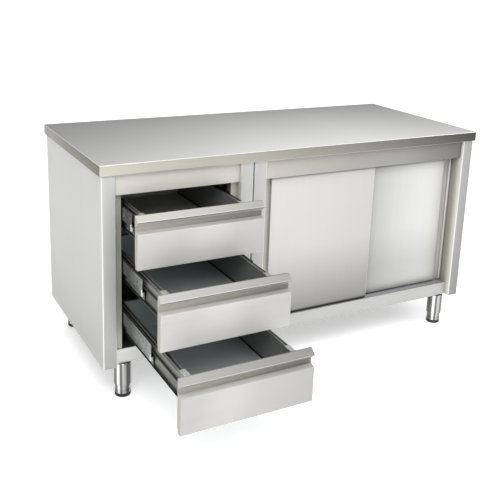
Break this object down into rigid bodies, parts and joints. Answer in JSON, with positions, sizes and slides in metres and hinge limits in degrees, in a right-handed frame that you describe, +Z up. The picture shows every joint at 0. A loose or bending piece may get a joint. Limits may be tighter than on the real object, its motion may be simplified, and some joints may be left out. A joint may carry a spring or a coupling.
{
  "type": "work table",
  "caption": "Stainless work table: worktop over a drawer unit on telescopic slides and a cupboard with two sliding doors, on adjustable feet.",
  "frame": {"origin": "on the floor, at the middle of the floor area that the table takes up with its drawers open as at rest; left to right it is the middle of the table", "axes": "+X along the table from the drawers to the cupboard, seen from the front; +Y from the front to the back; +Z up"},
  "size_m": [1.6, 1.218, 0.85],
  "materials": {
    "worktop_steel": "finely brushed along its length",
    "core_board": "bare board",
    "body_steel": "satin brushed, upright grain",
    "pan_steel": "mill finish",
    "zinc_steel": "zinc plated",
    "foot_steel": "polished",
    "black_plastic": "moulded, slightly grained",
    "black_rubber": "matte",
    "track_aluminium": "anodised",
    "front_steel": "satin brushed, level grain",
    "tray_steel": "smooth rolled sheet",
    "slide_steel": "zinc plated",
    "white_plastic": "moulded",
    "white_nylon": "moulded",
    "door_steel": "satin brushed, upright grain"
  },
  "bodies": {
    "root": {"worktop_skin": "worktop_steel", "worktop_core": "core_board", "left_side_panel": "body_steel", "drawer_unit_inner_side": "body_steel", "drawer_unit_back": "pan_steel", "drawer_unit_bottom": "pan_steel", "drawer_fascia": "body_steel", "slide_uprights": "pan_steel", "cabinet_slide_members": "zinc_steel", "cupboard_inner_side": "body_steel", "right_side_panel": "body_steel", "cupboard_back": "pan_steel", "cupboard_bottom": "pan_steel", "cupboard_fascia": "body_steel", "middle_shelf": "pan_steel", "shelf_brackets": "pan_steel", "door_track": "track_aluminium", "door_bottom_guide": "track_aluminium", "door_buffers": "black_rubber", "unit_spacers": "zinc_steel", "unit_bolts": "zinc_steel", "foot_plates": "pan_steel", "foot_bolts": "zinc_steel", "foot_sleeves": "foot_steel"},
    "top_drawer": {"top_drawer_front": "front_steel", "top_drawer_tray": "tray_steel", "top_drawer_slides": "slide_steel"},
    "top_mid_member": {"top_mid_slides": "slide_steel", "top_slide_hooks": "white_plastic"},
    "middle_drawer": {"middle_drawer_front": "front_steel", "middle_drawer_tray": "tray_steel", "middle_drawer_slides": "slide_steel"},
    "middle_mid_member": {"middle_mid_slides": "slide_steel", "middle_slide_hooks": "white_plastic"},
    "bottom_drawer": {"bottom_drawer_front": "front_steel", "bottom_drawer_tray": "tray_steel", "bottom_drawer_slides": "slide_steel"},
    "bottom_mid_member": {"bottom_mid_slides": "slide_steel", "bottom_slide_hooks": "white_plastic"},
    "front_door": {"front_door_skin": "door_steel", "front_door_liner": "door_steel", "front_door_hangers": "zinc_steel", "front_door_shoes": "white_nylon"},
    "front_door_roller_left": {"front_door_roller_left": "white_nylon"},
    "front_door_roller_right": {"front_door_roller_right": "white_nylon"},
    "rear_door": {"rear_door_skin": "door_steel", "rear_door_liner": "door_steel", "rear_door_hangers": "zinc_steel", "rear_door_shoes": "white_nylon"},
    "rear_door_roller_left": {"rear_door_roller_left": "white_nylon"},
    "rear_door_roller_right": {"rear_door_roller_right": "white_nylon"},
    "front_left_foot": {"foot_insert_front_left": "foot_steel", "foot_pad_front_left": "black_plastic"},
    "front_right_foot": {"foot_insert_front_right": "foot_steel", "foot_pad_front_right": "black_plastic"},
    "back_left_foot": {"foot_insert_back_left": "foot_steel", "foot_pad_back_left": "black_plastic"},
    "back_right_foot": {"foot_insert_back_right": "foot_steel", "foot_pad_back_right": "black_plastic"}
  },
  "joints": [
    {"name": "top_drawer_slide", "type": "slide", "parent": "root", "child": "top_drawer", "axis": [0, -1, 0], "range_m": [-0.182, 0.368]},
    {"name": "top_mid_member_slide", "type": "slide", "parent": "root", "child": "top_mid_member", "axis": [0, -1, 0], "range_m": [-0.091, 0.184]},
    {"name": "middle_drawer_slide", "type": "slide", "parent": "root", "child": "middle_drawer", "axis": [0, -1, 0], "range_m": [-0.372, 0.178]},
    {"name": "middle_mid_member_slide", "type": "slide", "parent": "root", "child": "middle_mid_member", "axis": [0, -1, 0], "range_m": [-0.186, 0.089]},
    {"name": "bottom_drawer_slide", "type": "slide", "parent": "root", "child": "bottom_drawer", "axis": [0, -1, 0], "range_m": [-0.525, 0.025]},
    {"name": "bottom_mid_member_slide", "type": "slide", "parent": "root", "child": "bottom_mid_member", "axis": [0, -1, 0], "range_m": [-0.2625, 0.0125]},
    {"name": "front_door_slide", "type": "slide", "parent": "root", "child": "front_door", "axis": [1, 0, 0], "range_m": [0, 0.417]},
    {"name": "front_door_roller_left_spin", "type": "hinge", "parent": "front_door", "child": "front_door_roller_left", "pos_m": [-0.122, -0.0445, 0.7895], "axis": [0, 1, 0], "range_deg": [-1, 1993]},
    {"name": "front_door_roller_right_spin", "type": "hinge", "parent": "front_door", "child": "front_door_roller_right", "pos_m": [0.265, -0.0445, 0.7895], "axis": [0, 1, 0], "range_deg": [-1, 1993]},
    {"name": "rear_door_slide", "type": "slide", "parent": "root", "child": "rear_door", "axis": [-1, 0, 0], "range_m": [0, 0.417]},
    {"name": "rear_door_roller_left_spin", "type": "hinge", "parent": "rear_door", "child": "rear_door_roller_left", "pos_m": [0.295, -0.0215, 0.7895], "axis": [0, -1, 0], "range_deg": [-1, 1993]},
    {"name": "rear_door_roller_right_spin", "type": "hinge", "parent": "rear_door", "child": "rear_door_roller_right", "pos_m": [0.682, -0.0215, 0.7895], "axis": [0, -1, 0], "range_deg": [-1, 1993]},
    {"name": "front_left_foot_height", "type": "slide", "parent": "root", "child": "front_left_foot", "axis": [0, 0, -1], "range_m": [-0.015, 0.015]},
    {"name": "front_right_foot_height", "type": "slide", "parent": "root", "child": "front_right_foot", "axis": [0, 0, -1], "range_m": [-0.015, 0.015]},
    {"name": "back_left_foot_height", "type": "slide", "parent": "root", "child": "back_left_foot", "axis": [0, 0, -1], "range_m": [-0.015, 0.015]},
    {"name": "back_right_foot_height", "type": "slide", "parent": "root", "child": "back_right_foot", "axis": [0, 0, -1], "range_m": [-0.015, 0.015]}
  ],
  "couplings": [
    {"joint": "top_mid_member_slide", "follows": "top_drawer_slide", "ratio": 0.5},
    {"joint": "middle_mid_member_slide", "follows": "middle_drawer_slide", "ratio": 0.5},
    {"joint": "bottom_mid_member_slide", "follows": "bottom_drawer_slide", "ratio": 0.5},
    {"joint": "front_door_roller_left_spin", "follows": "front_door_slide", "rad_per_m": 83.333},
    {"joint": "front_door_roller_right_spin", "follows": "front_door_slide", "rad_per_m": 83.333},
    {"joint": "rear_door_roller_left_spin", "follows": "rear_door_slide", "rad_per_m": 83.333},
    {"joint": "rear_door_roller_right_spin", "follows": "rear_door_slide", "rad_per_m": 83.333}
  ]
}
